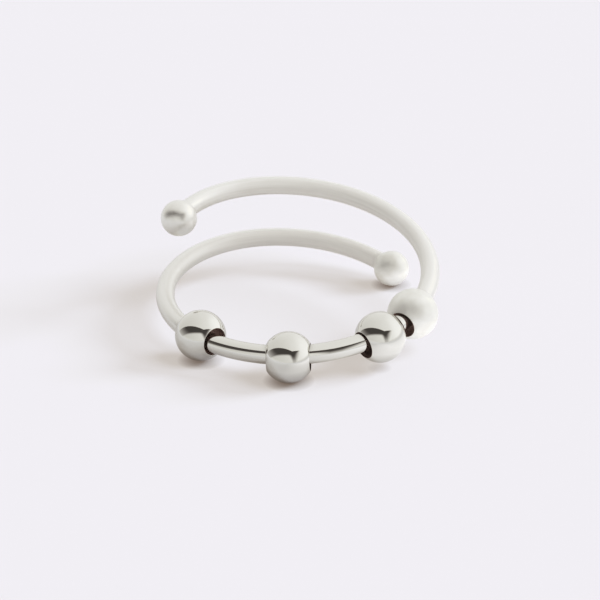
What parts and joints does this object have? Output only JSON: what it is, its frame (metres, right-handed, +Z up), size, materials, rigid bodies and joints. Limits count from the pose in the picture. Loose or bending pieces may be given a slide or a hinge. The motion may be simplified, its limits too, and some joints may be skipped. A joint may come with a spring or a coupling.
{
  "type": "beaded fidget ring",
  "caption": "Open bypass finger ring of round silver wire, wound a little over one turn, with a ball on each end and loose drilled beads that slide along its front.",
  "frame": {"origin": "on the surface that the ring rests on, under the middle of its outline seen from above", "axes": "+Z up from the surface, -Y towards the beaded front, +X to the right, where the far right bead sits"},
  "size_m": [0.0214, 0.0228, 0.0088],
  "materials": {
    "band_silver": "polished silver wire, faintly drawn along its length",
    "bead_silver": "high polish silver"
  },
  "bodies": {
    "band": {"band": "band_silver"},
    "bead_1": {"bead_1": "bead_silver"},
    "bead_2": {"bead_2": "bead_silver"},
    "bead_3": {"bead_3": "bead_silver"},
    "bead_4": {"bead_4": "bead_silver"}
  },
  "joints": [
    {"name": "bead_1_travel", "type": "hinge", "parent": "band", "child": "bead_1", "pos_m": [0.00002, 0.00074, 0.00292], "axis": [0.0582, -0.0644, 0.9962], "range_deg": [-160, 10]},
    {"name": "bead_2_travel", "type": "hinge", "parent": "band", "child": "bead_2", "pos_m": [-0.00003, -0.00022, 0.00335], "axis": [-0.0584, -0.174, 0.983], "range_deg": [-10, 9.5]},
    {"name": "bead_3_travel", "type": "hinge", "parent": "band", "child": "bead_3", "pos_m": [-0.00008, 0.00207, 0.00432], "axis": [0.0312, -0.0274, 0.9991], "range_deg": [-9.5, 0]},
    {"name": "bead_4_travel", "type": "hinge", "parent": "band", "child": "bead_4", "pos_m": [-0.00011, 0.0003, 0.00425], "axis": [0.0665, -0.2481, 0.9665], "range_deg": [0, 150]}
  ]
}
